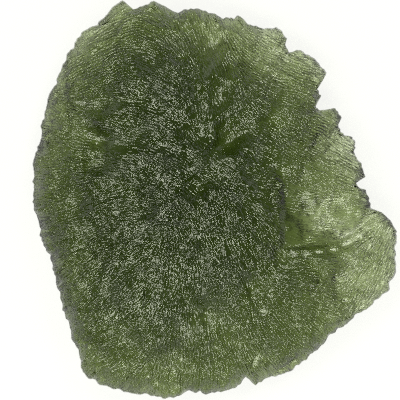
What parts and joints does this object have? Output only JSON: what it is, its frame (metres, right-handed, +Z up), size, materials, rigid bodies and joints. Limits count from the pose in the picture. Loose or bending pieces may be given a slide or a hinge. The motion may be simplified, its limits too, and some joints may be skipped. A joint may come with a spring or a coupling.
{
  "type": "moldavite",
  "caption": "Flat piece of green natural glass, etched into scoops all over, with a thin jagged rim, a smooth shell-shaped scallop on one side and a small flat resting spot.",
  "frame": {"origin": "on the surface the stone rests on, under the middle of its bounding box", "axes": "+Z up, out of the crown; +Y along the stone's longer side; +X towards the side with the scallop"},
  "size_m": [0.0348, 0.0382, 0.009],
  "materials": {
    "moldavite_glass": "translucent dark green natural glass, etched into fine grooves and pits that glint, smoother and lighter in the scallop"
  },
  "bodies": {
    "root": {"moldavite": "moldavite_glass"}
  },
  "joints": []
}
